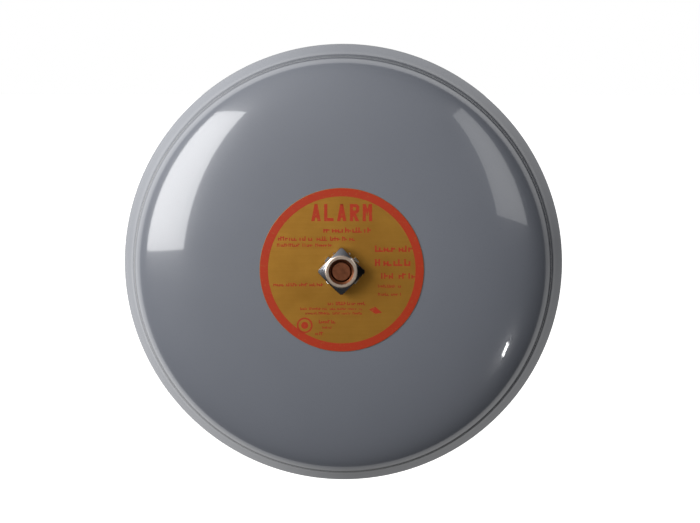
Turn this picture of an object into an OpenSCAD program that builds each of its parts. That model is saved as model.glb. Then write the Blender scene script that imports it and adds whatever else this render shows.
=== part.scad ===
// Eight-inch fire alarm bell of the vibrating kind, with its striking mechanism under the gong.
// The bell hangs on a wall: +Z is up, -Y points out of the wall and the wall face is Y = 0.
// Every sub-part is drawn in a front view (x right, y up, z out of the wall) and on_wall() turns
// it into that frame.

/* [Gong] */
// Outside diameter of the rim
gong_d = 203.2; // [200:0.1:208]
// Depth from the rim to the middle of the face
gong_h = 32.8; // [32:0.2:36]
// Thickness of the spun steel sheet
gong_t = 1.8; // [1.5:0.1:2.0]
// Gap from the wall to the rim
gong_standoff = 16.2; // [16.2:0.2:20]
// Width of the flared band outside the neck
flare_w = 5.6; // [4.5:0.1:6.5]
// Angle of the flared band from the bell's axis
flare_angle = 40; // [36:1:44]
// Exponent of the dome's superellipse: a higher one gives a squarer shoulder
dome_power = 2.6; // [2.4:0.05:2.8]

/* [Label] */
// Diameter of the foil label
label_d = 74.4; // [60:0.1:80]
// Thickness of the foil label
label_t = 0.25; // [0.15:0.05:0.4]

/* [Centre fastening] */
// Thread diameter of the gong stud (3/8 in)
stud_d = 9.525; // [9:0.005:9.6]
// Width across the flats of the square nut (5/8 in)
nut_af = 15.875; // [15.5:0.005:16.5]
// Height of the square nut
nut_h = 6.35; // [5:0.05:7]
// Outside diameter of the external-tooth lock washer
washer_d = 17.3; // [17:0.1:18.5]
// Number of teeth round the lock washer
tooth_count = 10; // [8:1:12]

/* [Back plate] */
// Diameter of the back plate, which covers a four-inch outlet box
plate_d = 144; // [143:0.5:146]
// Thickness of the back plate
plate_t = 2; // [1.6:0.1:2]
// Height of the back plate's turned edge
plate_lip = 7; // [5:0.5:8]
// Spacing of the two single-gang box screws
gang_spacing = 83.3; // [82:0.1:84]
// Pitch circle of the two octagon box screws
box_pcd = 88.9; // [86:0.1:90]
// Diameter of the wire entry through the grommet
wire_entry_d = 12; // [10:0.5:13]

/* [Striker] */
// Travel of the striker from its stop to the gong
travel = 4; // [3:0.1:4]
// Gap from the hammer's tip to the gong's neck at full travel; the shoulder comes 0.6 nearer
strike_gap = 0.9; // [0.85:0.05:1.2]
// Diameter of the soft iron plunger
plunger_d = 9.94; // [9.5:0.01:9.96]
// Diameter of the brass striker rod
rod_d = 5; // [4.6:0.1:5]
// Turns of the return spring
spring_turns = 4.5; // [3.5:0.5:5]
// Distance from the contact leaf's root to the edge of the drive collar
leaf_arm = 22; // [21.5:0.1:22.5]

/* [Hidden] */
$fn = 64;

// Clearances
touch_gap = 0.05;   // between pieces of one body that meet
slide_gap = 0.08;   // radial, round every sliding piece
thread_gap = 0.04;  // radial, between a plain shank and its hole

// Gong, measured from its own rim
gong_r = gong_d / 2;
neck_r = gong_r - flare_w;
fillet_r = 11;
flare_len = (flare_w - (gong_t / 2 + fillet_r) * (1 - cos(flare_angle))) / sin(flare_angle);
neck_z = gong_t / 2 * (1 + sin(flare_angle)) + flare_len * cos(flare_angle) + fillet_r * sin(flare_angle);
dome_h = gong_h - neck_z;
dome_step = 3;
gong_hole_r = stud_d / 2 + 0.4;

// Stack along the bell's axis
face_in_z = gong_standoff + gong_h - gong_t;
fibre_t = 1.5;
post_top_z = face_in_z - fibre_t;
label_z = gong_standoff + touch_gap;
washer_z = gong_standoff + gong_h + touch_gap + label_t;
washer_t = 1;
tooth_w = 2.8;
tooth_twist = 16;
washer_space = tooth_w * sin(tooth_twist) + washer_t * cos(tooth_twist) + touch_gap;
nut_z = washer_z + washer_space;
nut_crown_r = nut_af * 0.442;
nut_corner_r = nut_af * 0.672;
stud_r = stud_d / 2;
stud_recess = 1.4;
stud_top_z = nut_z + nut_h - stud_recess;
stud_bottom_z = 27;

// Post
post_af = 16;
post_flange_r = 15.5;
post_flange_t = 3;
rivet_circle_r = 12.3;
rivet_angles = [90, 210, 330];
rivet_r = 1.6;

// Back plate
plate_r = plate_d / 2;
box_hole_angle = 30;
gang_slot_w = 4.8;
gang_slot_len = 9;
box_hole_r = 2.6;
wire_entry = [-40, 24];
grommet_hole_r = wire_entry_d / 2 + 3;
grommet_r = wire_entry_d / 2 + 5.5;
shank_r = 1.5;
head_r = 3;
head_h = 2.2;

// Terminal block
block_size = [64, 16, 8];
block_y = 40;
barrier_h = 5;
terminal_pitch = 12;
terminal_xs = [for (i = [-1.5 : 1 : 1.5]) i * terminal_pitch];
block_ear_x = 28.5;
clamp_t = 1;
earth_at = [-26, 8];

// Solenoid
axis_z = gong_standoff + 13.8;
frame_top_y = -12;
frame_bottom_y = -50;
frame_t = 2.5;
frame_half_w = 15;
frame_back_z = axis_z - 16.5;
frame_front_z = axis_z + 14;
ear_x = 20.5;
ear_half_w = 5.5;
ear_y = -31;
ear_half_len = 9;
pillar_r = 4.5;
spigot_r = 2.5;
tube_in_r = plunger_d / 2 + slide_gap;
tube_out_r = tube_in_r + 0.4;
bobbin_in_r = tube_out_r + touch_gap;
bobbin_wall = 1.1;
bobbin_flange_r = 13.8;
bobbin_flange_t = 1.2;
winding_r = 13.1;
wrap_r = 13.4;
bobbin_top_y = frame_top_y - frame_t - touch_gap;
bobbin_bottom_y = frame_bottom_y + frame_t + touch_gap;
pole_top_y = frame_bottom_y + 9;

// Striker, at rest on its upper stop
rod_r = rod_d / 2;
plunger_top_y = -10.5;
plunger_bottom_y = -34.5;
rod_top_y = -26.5;
bumper_t = 2.5;
bumper_y = frame_bottom_y - 0.1 - bumper_t;
clip_t = 0.8;
clip_y = bumper_y - clip_t;
collar_r = 8;
collar_t = 3;
collar_y = clip_y - touch_gap - collar_t;
strike_y = -(neck_r - gong_t) + strike_gap;
hammer_tip_y = strike_y + travel;
hammer_top_y = -76;
hammer_r = 5.5;
hammer_tip_r = 6.5;
rod_bottom_y = -81;

// Return spring and lower guide
guide_t = 2.5;
guide_top_y = collar_y - 9;
guide_half_w = 10;
guide_front_z = axis_z + 8;
guide_foot_len = 11;
guide_screws_at = [for (s = [-1, 1]) [s * guide_half_w / 2, guide_top_y + guide_foot_len / 2]];
guide_bush_r = 4;
bush_flange_r = 5.5;
bush_flange_t = 1.2;
spring_wire_r = 0.4;
spring_mean_r = 4;

// Interrupter
leaf_t = 0.5;
leaf_half_w = 4;
leaf_gap = 0.15;
leaf_top_y = collar_y - leaf_gap;
leaf_bottom_y = leaf_top_y - leaf_t;
leaf_root_x = collar_r + leaf_arm;
leaf_tip_x = 5.8;
contact_x = 20;
button_h = 0.6;
fixed_tip_y = leaf_top_y + button_h + touch_gap;
contact_block_x = leaf_root_x + 0.6;
contact_block_w = 9.4;
contact_block_top_y = -42;
contact_block_front_z = axis_z + 6;
contact_foot_len = 8;
contact_foot_t = 3;
contact_foot_screw = [contact_block_x + contact_block_w / 2, contact_block_top_y + contact_foot_len / 2];
strip_t = 1.5;
arm_y = -48;
arm_tip_x = 16.5;
tag_end_x = 44;
clamp_bar_t = 2;
clamp_bar_y = leaf_bottom_y - touch_gap;
small_screw_r = 1.2;
contact_screw_r = 1.75;
clamp_screw_xs = [contact_block_x + 2.6, contact_block_x + 6.8];
bracket_screw_x = 37;

// Suppressor capacitor
cap_r = 5.3;
cap_x = [-38, -18];
cap_y = -50;
cap_z = plate_t + cap_r + 0.3;
cap_clip_x = -28;
cap_clip_t = 0.8;
cap_clip_screw_y = cap_y + cap_r + 4.2;

// Lead routes, as points in the front view, joined by a smooth curve
lead_r = 0.9;
lead_coil_supply_path = [
    [-18, 31.9, 7], [-18, 28, 7], [-19.5, 18, 8], [-20, 8, 10], [-20.5, -2, 14], [-20.5, -12, 21],
    [-19.5, -18, 28], [-16.5, -21, 30], [-13.6, -21, 30]
];
lead_coil_contact_path = [
    [13.5, -36, 30], [17, -35.6, 30.4], [22, -34.6, 31], [27.5, -34.6, 31], [31.6, -36.4, 30.4],
    [32.6, -40.3, 30]
];
lead_leaf_supply_path = [
    [42.6, -56.4, 30], [42.6, -53, 29.8], [43.5, -47, 26], [45.5, -39, 18], [48.5, -29, 10], [51, -17, 6],
    [52.5, -4, 5], [52.5, 9, 5], [50, 20, 5.2], [43.5, 29.5, 5.6], [33, 31.5, 6], [23.5, 28.4, 6.6],
    [18.6, 28.6, 7], [18, 31.9, 7]
];
lead_cap_contact_path = [
    [-17.9, -50, 7.6], [-14, -50.4, 7.4], [-6, -51.4, 7], [4, -52, 6.8], [14, -51.8, 7], [22, -50, 7.6],
    [27, -49, 8], [30.3, -49, 8]
];
lead_cap_leaf_path = [
    [-38.15, -50, 7.6], [-40.8, -50, 7.8], [-42.8, -52.3, 8.4], [-40.8, -55.2, 8.2], [-34, -57.8, 6.6],
    [-23, -59, 6], [-13, -57.6, 7.6], [0, -57, 8.8], [13, -58, 8.6], [25, -60, 8.6], [34.5, -61.6, 11],
    [40.6, -62.6, 18], [42.6, -62.4, 26], [42.6, -59.6, 30], [42.6, -57.3, 30]
];

// ---------- helpers ----------

module on_wall() { rotate([90, 0, 0]) children(); }

module block(low, high) { translate(low) cube(high - low); }

module disc(r, z0, z1, at = [0, 0]) { translate([at[0], at[1], z0]) cylinder(r = r, h = z1 - z0); }

// A cylinder along y, centred on x and z
module bar(r, y0, y1, x = 0, z = axis_z) {
    translate([x, y0, z]) rotate([-90, 0, 0]) cylinder(r = r, h = y1 - y0);
}

module sleeve(r_out, r_in, y0, y1, x = 0, z = axis_z) {
    difference() {
        bar(r_out, y0, y1, x, z);
        bar(r_in, y0 - 1, y1 + 1, x, z);
    }
}

module ring(r_out, r_in, z0, z1, at = [0, 0]) {
    difference() {
        disc(r_out, z0, z1, at);
        disc(r_in, z0 - 1, z1 + 1, at);
    }
}

// A pan-head screw along z with a driver slot; its shank starts at z0 and its head sits on seat_z
module pan_screw(z0, seat_z, shank = shank_r, head = head_r, height = head_h, turn = 0) {
    half_slot = head * 0.15;
    slot_floor = seat_z + height * 0.55;
    overlap = 0.2;
    difference() {
        union() {
            disc(shank, z0, seat_z + overlap);
            disc(head, seat_z, seat_z + height * 0.6);
            translate([0, 0, seat_z + height * 0.6]) cylinder(r1 = head, r2 = head * 0.7, h = height * 0.4);
        }
        rotate([0, 0, turn])
            block([-head - 1, -half_slot, slot_floor], [head + 1, half_slot, seat_z + height + 1]);
    }
}

function arc(centre, r, from, to, n) =
    [for (i = [0 : n]) let (a = from + (to - from) * i / n) centre + r * [cos(a), sin(a)]];

function tail(list) = [for (i = [1 : len(list) - 1]) list[i]];

function reversed(list) = [for (i = [len(list) - 1 : -1 : 0]) list[i]];

// Catmull-Rom curve through a route's points, with n steps between neighbours
function spline_point(a, b, c, d, t) =
    0.5 * (2 * b + (c - a) * t + (2 * a - 5 * b + 4 * c - d) * t * t + (3 * b - a - 3 * c + d) * t * t * t);

function smooth_route(pts, n) = concat(
    [for (i = [0 : len(pts) - 2], k = [0 : n - 1])
        spline_point(pts[max(i - 1, 0)], pts[i], pts[i + 1], pts[min(i + 2, len(pts) - 1)], k / n)],
    [pts[len(pts) - 1]]
);

// A round tube along a route, as one polyhedron; up is a direction the route never runs along
module swept_tube(route, r, up, sides = 8) {
    last = len(route) - 1;
    function direction(i) = let (d = route[min(i + 1, last)] - route[max(i - 1, 0)]) d / norm(d);
    function side(i) = let (s = cross(direction(i), up)) s / norm(s);
    points = [
        for (i = [0 : last], k = [0 : sides - 1])
            let (s = side(i), v = cross(direction(i), s), a = 360 * k / sides)
                route[i] + r * (cos(a) * s + sin(a) * v)
    ];
    walls = [
        for (i = [0 : last - 1], k = [0 : sides - 1])
            let (k2 = (k + 1) % sides)
                [i * sides + k, (i + 1) * sides + k, (i + 1) * sides + k2, i * sides + k2]
    ];
    start_cap = [[for (k = [0 : sides - 1]) k]];
    end_cap = [[for (k = [sides - 1 : -1 : 0]) last * sides + k]];
    polyhedron(points = points, faces = concat(walls, start_cap, end_cap));
}

module lead(path, up = [0, 0, 1]) { on_wall() swept_tube(smooth_route(path, 2), lead_r, up); }

// ---------- gong and its centre fastening ----------

function dome_point(a) =
    [neck_r * pow(sin(a), 2 / dome_power), neck_z + dome_h * pow(cos(a), 2 / dome_power)];

function dome_slope(u, extent) = pow(max(u, 0) / extent, dome_power - 1) / extent;

function dome_normal(p) =
    let (n = [dome_slope(p[0], neck_r), dome_slope(p[1] - neck_z, dome_h)]) n / norm(n);

function dome_curve(depth) =
    [for (a = [dome_step : dome_step : 90]) let (p = dome_point(a)) p - depth * dome_normal(p)];

function dome_z(r) = neck_z + dome_h * pow(1 - pow(r / neck_r, dome_power), 1 / dome_power);

module gong() {
    fillet_c = [neck_r + fillet_r, neck_z];
    lip_c = [gong_r - gong_t / 2, gong_t / 2];
    outline = concat(
        [[gong_hole_r, gong_h]],
        dome_curve(0),
        tail(arc(fillet_c, fillet_r, 180, 180 + flare_angle, 8)),
        arc(lip_c, gong_t / 2, flare_angle, flare_angle - 180, 8),
        arc(fillet_c, fillet_r + gong_t, 180 + flare_angle, 180, 8),
        tail(reversed(dome_curve(gong_t))),
        [[gong_hole_r, gong_h - gong_t]]
    );
    color("slategray") on_wall() translate([0, 0, gong_standoff]) rotate_extrude() polygon(outline);
}

module name_label() {
    label_hole_r = gong_hole_r + 0.4;
    steps = 16;
    radii = [for (i = [0 : steps]) label_hole_r + (label_d / 2 - label_hole_r) * i / steps];
    outline = concat(
        [for (r = radii) [r, dome_z(r)]],
        reversed([for (r = radii) [r, dome_z(r) + label_t]])
    );
    color("goldenrod") on_wall() translate([0, 0, label_z]) rotate_extrude() polygon(outline);
}

module lock_washer() {
    inner_r = stud_r + 0.25;
    body_r = washer_d / 2 - 2.2;
    middle_z = washer_z + washer_space / 2;
    color("silver") on_wall() {
        difference() {
            union() {
                disc(body_r, middle_z - washer_t / 2, middle_z + washer_t / 2);
                for (i = [0 : tooth_count - 1])
                    rotate([0, 0, i * 360 / tooth_count])
                        translate([body_r - 0.6, 0, middle_z])
                            rotate([tooth_twist, 0, 0])
                                translate([0, -tooth_w / 2, -washer_t / 2])
                                    cube([washer_d / 2 - body_r + 0.6, tooth_w, washer_t]);
            }
            disc(inner_r, middle_z - 3, middle_z + 3);
        }
    }
}

module gong_nut() {
    slope = 28;
    countersink_r = stud_r + 0.7;
    countersink_h = 0.8;
    bevelled = [
        [0, 0], [nut_corner_r, 0], [nut_corner_r, nut_h - (nut_corner_r - nut_crown_r) * tan(slope)],
        [nut_crown_r, nut_h], [0, nut_h]
    ];
    color("silver") on_wall() translate([0, 0, nut_z]) difference() {
        intersection() {
            rotate([0, 0, 45]) translate([-nut_af / 2, -nut_af / 2, 0]) cube([nut_af, nut_af, nut_h]);
            rotate_extrude() polygon(bevelled);
        }
        disc(stud_r + thread_gap, -1, nut_h + 1);
        translate([0, 0, nut_h - countersink_h])
            cylinder(r1 = stud_r + thread_gap, r2 = countersink_r, h = countersink_h + 0.001);
    }
}

module gong_stud() {
    end_chamfer = 0.8;
    color("peru") on_wall() {
        disc(stud_r, stud_bottom_z, stud_top_z - end_chamfer);
        translate([0, 0, stud_top_z - end_chamfer])
            cylinder(r1 = stud_r, r2 = stud_r - end_chamfer, h = end_chamfer);
    }
}

module fibre_washer() {
    color("sienna") on_wall() ring(12, stud_r + 0.2, post_top_z, face_in_z - 2 * touch_gap);
}

module gong_post() {
    neck_bottom_z = post_top_z - 6;
    flange_top_z = plate_t + post_flange_t;
    color("lightsteelblue") on_wall() difference() {
        union() {
            disc(post_flange_r, plate_t, flange_top_z);
            translate([0, 0, plate_t])
                cylinder(r = post_af / 2 / cos(30), h = neck_bottom_z - plate_t, $fn = 6);
            disc(post_af / 2 - 0.2, neck_bottom_z - 1, post_top_z - touch_gap);
        }
        disc(stud_r + thread_gap, stud_bottom_z, post_top_z + 1);
        for (a = rivet_angles) rotate([0, 0, a])
            disc(rivet_r + thread_gap, 0, flange_top_z + 1, [rivet_circle_r, 0]);
    }
}

module post_rivets() {
    rivet_head_r = 2.4;
    seat = plate_t + post_flange_t;
    color("silver") on_wall() for (a = rivet_angles) rotate([0, 0, a]) translate([rivet_circle_r, 0, 0]) {
        disc(rivet_r, touch_gap, seat + 0.2);
        disc(rivet_head_r, seat, seat + 0.8);
        translate([0, 0, seat + 0.8]) cylinder(r1 = rivet_head_r, r2 = rivet_head_r * 0.55, h = 0.8);
    }
}

// ---------- back plate and wiring ----------

module gang_slots() {
    half_run = (gang_slot_len - gang_slot_w) / 2;
    for (s = [-1, 1]) translate([s * gang_spacing / 2, 0, -1]) {
        for (e = [-1, 1]) translate([e * half_run, 0, 0]) cylinder(r = gang_slot_w / 2, h = plate_t + 2);
        translate([-half_run, -gang_slot_w / 2, 0]) cube([2 * half_run, gang_slot_w, plate_t + 2]);
    }
}

module plate_hole(r, at) { disc(r, -1, plate_t + 1, at); }

module back_plate() {
    corner_r = 2.5;
    inner_r = plate_r - plate_t;
    outline = concat(
        [[0, 0]],
        arc([plate_r - corner_r, corner_r], corner_r, -90, 0, 6),
        [[plate_r, plate_lip], [inner_r, plate_lip], [inner_r, plate_t + 0.5]],
        [[inner_r - 0.5, plate_t], [0, plate_t]]
    );
    color("slategray") on_wall() difference() {
        rotate_extrude() polygon(outline);
        gang_slots();
        for (s = [0, 180]) rotate([0, 0, box_hole_angle + s]) plate_hole(box_hole_r, [box_pcd / 2, 0]);
        plate_hole(grommet_hole_r, wire_entry);
        for (a = rivet_angles) rotate([0, 0, a]) plate_hole(rivet_r + thread_gap, [rivet_circle_r, 0]);
        for (s = [-1, 1]) {
            plate_hole(spigot_r + thread_gap, [s * ear_x, ear_y]);
            plate_hole(shank_r + thread_gap, [s * block_ear_x, block_y]);
        }
        for (at = guide_screws_at) plate_hole(shank_r + thread_gap, at);
        plate_hole(shank_r + thread_gap, earth_at);
        plate_hole(shank_r + thread_gap, contact_foot_screw);
        plate_hole(shank_r + thread_gap, [cap_clip_x, cap_clip_screw_y]);
    }
}

// A rubber ring that sits in the plate's hole, with a flange on the plate's front
module wire_grommet() {
    bore_r = wire_entry_d / 2;
    spigot_out_r = grommet_hole_r - touch_gap;
    seat = plate_t + touch_gap;
    front_z = plate_t + 2;
    edge = 0.6;
    outline = [
        [bore_r, touch_gap], [spigot_out_r, touch_gap], [spigot_out_r, seat], [grommet_r, seat],
        [grommet_r, front_z - edge], [grommet_r - edge, front_z], [bore_r, front_z]
    ];
    color("dimgray") on_wall() translate([wire_entry[0], wire_entry[1], 0]) rotate_extrude() polygon(outline);
}

block_top_z = plate_t + block_size[2];

module terminal_block() {
    half = block_size / 2;
    wall_t = 1.6;
    core_half_x = terminal_pitch * 2 + wall_t / 2;
    color("dimgray") on_wall() translate([0, block_y, 0]) difference() {
        union() {
            block([-half[0], -half[1] * 0.6, plate_t], [half[0], half[1] * 0.6, plate_t + block_size[2] / 2]);
            block([-core_half_x, -half[1], plate_t], [core_half_x, half[1], block_top_z]);
            for (i = [-2 : 2])
                block([i * terminal_pitch - wall_t / 2, -half[1], plate_t],
                    [i * terminal_pitch + wall_t / 2, half[1], block_top_z + barrier_h]);
        }
        for (s = [-1, 1]) disc(shank_r + thread_gap, 0, block_top_z, [s * block_ear_x, 0]);
        for (x = terminal_xs) disc(shank_r + thread_gap, plate_t + 2, block_top_z + 1, [x, 0]);
    }
}

module terminal_clamps() {
    half = [4, 5];
    color("gold") on_wall() for (x = terminal_xs) translate([x, block_y, block_top_z + touch_gap])
        difference() {
            block([-half[0], -half[1], 0], [half[0], half[1], clamp_t]);
            disc(shank_r + thread_gap, -1, clamp_t + 1);
        }
}

module terminal_screws() {
    seat = block_top_z + clamp_t + 2 * touch_gap;
    color("gold") on_wall() for (i = [0 : 3])
        translate([terminal_xs[i], block_y, 0]) pan_screw(plate_t + 2.2, seat, turn = 20 + i * 37);
}

module block_mount_screws() {
    seat = plate_t + block_size[2] / 2 + touch_gap;
    color("silver") on_wall() for (s = [-1, 1])
        translate([s * block_ear_x, block_y, 0]) pan_screw(touch_gap, seat, head = 2.7, turn = 25 * s);
}

module earth_washer() {
    color("gold") on_wall() ring(4.2, shank_r + thread_gap, plate_t + touch_gap, plate_t + 0.9, earth_at);
}

module earth_screw() {
    seat = plate_t + 0.9 + touch_gap;
    hex_h = 2.4;
    color("green") on_wall() translate([earth_at[0], earth_at[1], 0]) difference() {
        union() {
            disc(shank_r, touch_gap, seat + 0.2);
            translate([0, 0, seat]) cylinder(r = head_r, h = hex_h, $fn = 6);
        }
        rotate([0, 0, 35]) block([-4, -0.45, seat + hex_h - 1], [4, 0.45, seat + hex_h + 1]);
    }
}

// ---------- solenoid ----------

module frame_pillars() {
    color("silver") on_wall() for (s = [-1, 1]) translate([s * ear_x, ear_y, 0]) difference() {
        union() {
            disc(spigot_r, touch_gap, plate_t + 0.2);
            disc(pillar_r, plate_t, frame_back_z - touch_gap);
        }
        disc(shank_r + thread_gap, frame_back_z - 7, frame_back_z + 1);
    }
}

module magnet_frame() {
    web_z = frame_back_z + frame_t;
    w = frame_half_w;
    ear_w = ear_x + ear_half_w;
    color("gainsboro") on_wall() difference() {
        union() {
            block([-w, frame_bottom_y, frame_back_z], [w, frame_top_y, web_z]);
            block([-ear_w, ear_y - ear_half_len, frame_back_z], [ear_w, ear_y + ear_half_len, web_z]);
            block([-w, frame_top_y - frame_t, frame_back_z], [w, frame_top_y, frame_front_z]);
            block([-w, frame_bottom_y, frame_back_z], [w, frame_bottom_y + frame_t, frame_front_z]);
        }
        bar(tube_in_r, frame_top_y - frame_t - 1, frame_top_y + 1);
        bar(plunger_d / 2 + thread_gap, frame_bottom_y - 1, frame_bottom_y + frame_t + 1);
        for (s = [-1, 1]) disc(shank_r + thread_gap, frame_back_z - 1, web_z + 1, [s * ear_x, ear_y]);
    }
}

module frame_screws() {
    seat = frame_back_z + frame_t + touch_gap;
    color("silver") on_wall() for (s = [-1, 1])
        translate([s * ear_x, ear_y, 0]) pan_screw(seat - 8, seat, head = 3.2, turn = 40 + 50 * s);
}

module coil_bobbin() {
    barrel_r = bobbin_in_r + bobbin_wall;
    color("ivory") on_wall() difference() {
        union() {
            bar(barrel_r, bobbin_bottom_y, bobbin_top_y);
            bar(bobbin_flange_r, bobbin_bottom_y, bobbin_bottom_y + bobbin_flange_t);
            bar(bobbin_flange_r, bobbin_top_y - bobbin_flange_t, bobbin_top_y);
        }
        bar(bobbin_in_r, bobbin_bottom_y - 1, bobbin_top_y + 1);
    }
}

winding_bottom_y = bobbin_bottom_y + bobbin_flange_t + touch_gap;
winding_top_y = bobbin_top_y - bobbin_flange_t - touch_gap;

module coil_winding() {
    color("darkorange") on_wall()
        sleeve(winding_r, bobbin_in_r + bobbin_wall + touch_gap, winding_bottom_y, winding_top_y);
}

module coil_wrap() {
    color("khaki") on_wall() sleeve(wrap_r, winding_r + touch_gap, winding_bottom_y + 3, winding_top_y - 3);
}

module guide_tube() {
    color("gold") on_wall()
        sleeve(tube_out_r, tube_in_r, bobbin_bottom_y, bobbin_top_y);
}

module pole_bush() {
    color("silver") on_wall() sleeve(plunger_d / 2, rod_r + slide_gap, frame_bottom_y, pole_top_y);
}

// ---------- striker ----------

module plunger() {
    color("gray") on_wall() difference() {
        bar(plunger_d / 2, plunger_bottom_y, plunger_top_y);
        bar(rod_r + thread_gap, plunger_bottom_y - 1, rod_top_y + 0.5);
    }
}

module striker_rod() {
    color("gold") on_wall() bar(rod_r, rod_bottom_y, rod_top_y);
}

module bumper_washer() {
    color("dimgray") on_wall() sleeve(5.6, rod_r + thread_gap, bumper_y, bumper_y + bumper_t);
}

module retaining_clip() {
    clip_r = 4.3;
    mouth = 1.7;
    color("silver") on_wall() difference() {
        sleeve(clip_r, rod_r + thread_gap, clip_y, clip_y + clip_t - touch_gap);
        block([-mouth, clip_y - 1, axis_z], [mouth, clip_y + clip_t + 1, axis_z + clip_r + 1]);
    }
}

module drive_collar() {
    color("saddlebrown") on_wall() sleeve(collar_r, rod_r + thread_gap, collar_y, collar_y + collar_t);
}

// Profile in (radius, distance below the hammer's top): a waist, a body and a rounded nose
module hammer_head() {
    length = hammer_top_y - hammer_tip_y;
    waist_r = 4;
    nose_angle = asin(hammer_r / hammer_tip_r);
    outline = concat(
        [[0, 0], [waist_r, 0], [waist_r, 2.5], [hammer_r, 4]],
        reversed(arc([0, length - hammer_tip_r], hammer_tip_r, 90, 90 - nose_angle, 8))
    );
    color("silver") on_wall() difference() {
        translate([0, hammer_top_y, axis_z]) rotate([90, 0, 0]) rotate_extrude() polygon(outline);
        bar(rod_r + thread_gap, rod_bottom_y - 0.3, hammer_top_y + 1);
    }
}

// ---------- return spring and lower guide ----------

module return_spring() {
    clear = 0.1;
    sides = 16;
    bottom_y = guide_top_y + clear + spring_wire_r;
    rise = collar_y - guide_top_y - 2 * (clear + spring_wire_r);
    steps = spring_turns * sides;
    route = [
        for (i = [0 : steps])
            let (a = 360 * i / sides)
                [spring_mean_r * cos(a), bottom_y + rise * i / steps, axis_z + spring_mean_r * sin(a)]
    ];
    color("lightgray") on_wall() swept_tube(route, spring_wire_r, [0, 1, 0]);
}

module guide_bracket() {
    low = [-guide_half_w, guide_top_y - guide_t, plate_t + touch_gap];
    color("gainsboro") on_wall() difference() {
        union() {
            block(low, [guide_half_w, guide_top_y, guide_front_z]);
            block(low, [guide_half_w, guide_top_y + guide_foot_len, plate_t + guide_t]);
        }
        bar(guide_bush_r + thread_gap, guide_top_y - guide_t - 1, guide_top_y + 1);
        for (at = guide_screws_at) disc(shank_r + thread_gap, 0, plate_t + guide_t + 1, at);
    }
}

module guide_bush() {
    flange_y = guide_top_y - guide_t - touch_gap;
    color("ivory") on_wall() difference() {
        union() {
            bar(guide_bush_r, flange_y - 0.2, guide_top_y);
            bar(bush_flange_r, flange_y - bush_flange_t, flange_y);
        }
        bar(rod_r + slide_gap, flange_y - bush_flange_t - 1, guide_top_y + 1);
    }
}

module guide_screws() {
    seat = plate_t + guide_t + touch_gap;
    color("silver") on_wall() for (at = guide_screws_at)
        translate([at[0], at[1], 0]) pan_screw(touch_gap, seat, head = 2.8, turn = 12 * at[0]);
}

// ---------- interrupter ----------

module contact_block() {
    low = [contact_block_x, leaf_top_y + touch_gap, plate_t + touch_gap];
    side_x = contact_block_x + contact_block_w;
    top_y = contact_block_top_y;
    color("saddlebrown") on_wall() difference() {
        union() {
            block(low, [side_x, top_y, contact_block_front_z]);
            block(low, [side_x, top_y + contact_foot_len, plate_t + contact_foot_t]);
        }
        disc(shank_r + thread_gap, 0, plate_t + contact_foot_t + 1, contact_foot_screw);
        for (x = clamp_screw_xs) bar(small_screw_r + thread_gap, leaf_top_y - 1, leaf_top_y + 5, x);
        bar(small_screw_r + thread_gap, top_y - 5, top_y + 1, bracket_screw_x);
    }
}

module contact_block_screw() {
    color("silver") on_wall() translate([contact_foot_screw[0], contact_foot_screw[1], 0])
        pan_screw(touch_gap, plate_t + contact_foot_t + touch_gap, head = 2.8, turn = 70);
}

module contact_bracket() {
    half = leaf_half_w;
    leg_x = contact_block_x - touch_gap - strip_t;
    foot_y = contact_block_top_y + touch_gap;
    color("gold") on_wall() difference() {
        union() {
            block([arm_tip_x, arm_y, axis_z - half], [leg_x + strip_t, arm_y + strip_t, axis_z + half]);
            block([leg_x, arm_y, axis_z - half], [leg_x + strip_t, foot_y + strip_t, axis_z + half]);
            block([leg_x, foot_y, axis_z - half],
                [contact_block_x + contact_block_w, foot_y + strip_t, axis_z + half]);
        }
        bar(contact_screw_r + thread_gap, arm_y - 1, arm_y + strip_t + 1, contact_x);
        bar(small_screw_r + thread_gap, foot_y - 1, foot_y + strip_t + 1, bracket_screw_x);
    }
}

module contact_bracket_screw() {
    seat_y = contact_block_top_y + strip_t + 2 * touch_gap;
    color("silver") on_wall() translate([bracket_screw_x, seat_y, axis_z]) rotate([-90, 0, 0])
        pan_screw(-6, 0, small_screw_r, head = 2.3, height = 1.6, turn = 50);
}

module contact_screw() {
    tip_r = 1.2;
    tip_h = 0.8;
    knob_y = -43;
    knob_r = 3;
    knob_h = 2.2;
    slot = [2 * knob_r + 2, 2, 0.9];
    color("gold") on_wall() difference() {
        union() {
            bar(tip_r, fixed_tip_y, fixed_tip_y + tip_h + 0.1, contact_x);
            bar(contact_screw_r, fixed_tip_y + tip_h, knob_y, contact_x);
            bar(knob_r, knob_y, knob_y + knob_h, contact_x);
        }
        translate([contact_x - slot[0] / 2, knob_y + knob_h - slot[1] / 2, axis_z - slot[2] / 2]) cube(slot);
    }
}

module contact_lock_nut() {
    seat = arm_y + strip_t + touch_gap;
    color("gold") on_wall() translate([contact_x, seat, axis_z]) rotate([-90, 0, 0]) difference() {
        cylinder(r = 3.2, h = 1.8, $fn = 6);
        disc(contact_screw_r + thread_gap, -1, 3);
    }
}

// A flat strip across the leaf's width, from x0 to x1 and from y0 up to y1
module strip(x0, x1, y0, y1) {
    block([x0, y0, axis_z - leaf_half_w], [x1, y1, axis_z + leaf_half_w]);
}

module clamp_screw_holes() {
    for (x = clamp_screw_xs) bar(small_screw_r + thread_gap, clamp_bar_y - 5, leaf_top_y + 1, x);
}

module leaf_tag() {
    color("goldenrod") on_wall() difference() {
        strip(leaf_root_x + 0.3, tag_end_x, leaf_bottom_y, leaf_top_y);
        clamp_screw_holes();
    }
}

module leaf_clamp() {
    color("gold") on_wall() difference() {
        strip(contact_block_x, contact_block_x + contact_block_w, clamp_bar_y - clamp_bar_t, clamp_bar_y);
        clamp_screw_holes();
    }
}

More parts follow.
